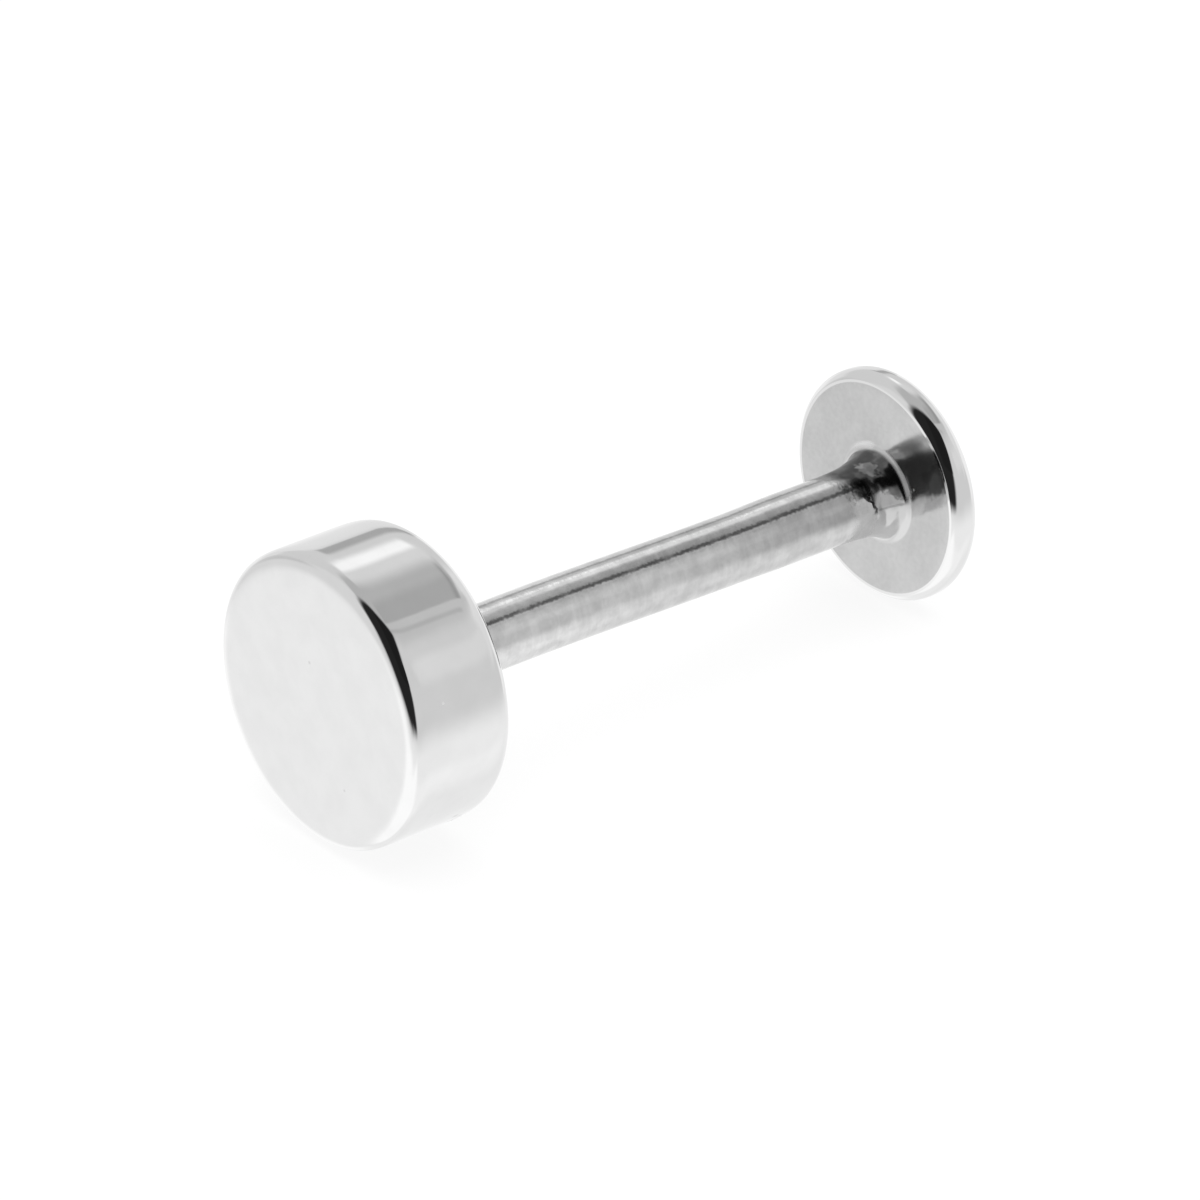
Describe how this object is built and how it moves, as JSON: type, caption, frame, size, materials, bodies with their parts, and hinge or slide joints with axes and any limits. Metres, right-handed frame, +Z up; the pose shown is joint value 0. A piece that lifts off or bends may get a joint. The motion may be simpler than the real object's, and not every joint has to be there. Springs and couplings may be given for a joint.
{
  "type": "labret stud",
  "caption": "Steel labret stud for a piercing: a plain flat round head that screws onto a slim straight bar with a smaller flat round disc soldered to its other end.",
  "frame": {"origin": "On the surface that the stud lies on, under the centre of its box", "axes": "+X runs along the lying stud from the head to the back disc, +Z up. The wider head tilts the bar by 2.75 degrees, so that its disc end is the lower one"},
  "size_m": [0.0126, 0.005, 0.0051],
  "materials": {
    "polished_steel": "surgical steel polished to a mirror",
    "drawn_steel": "surgical steel, a polished bar and rim with a satin inner face on the disc"
  },
  "bodies": {
    "post": {"post": "drawn_steel"},
    "head": {"head": "polished_steel"}
  },
  "joints": [
    {"name": "head_draw", "type": "slide", "parent": "post", "child": "head", "axis": [-0.9988, 0, 0.048], "range_m": [0, 0.012]}
  ]
}
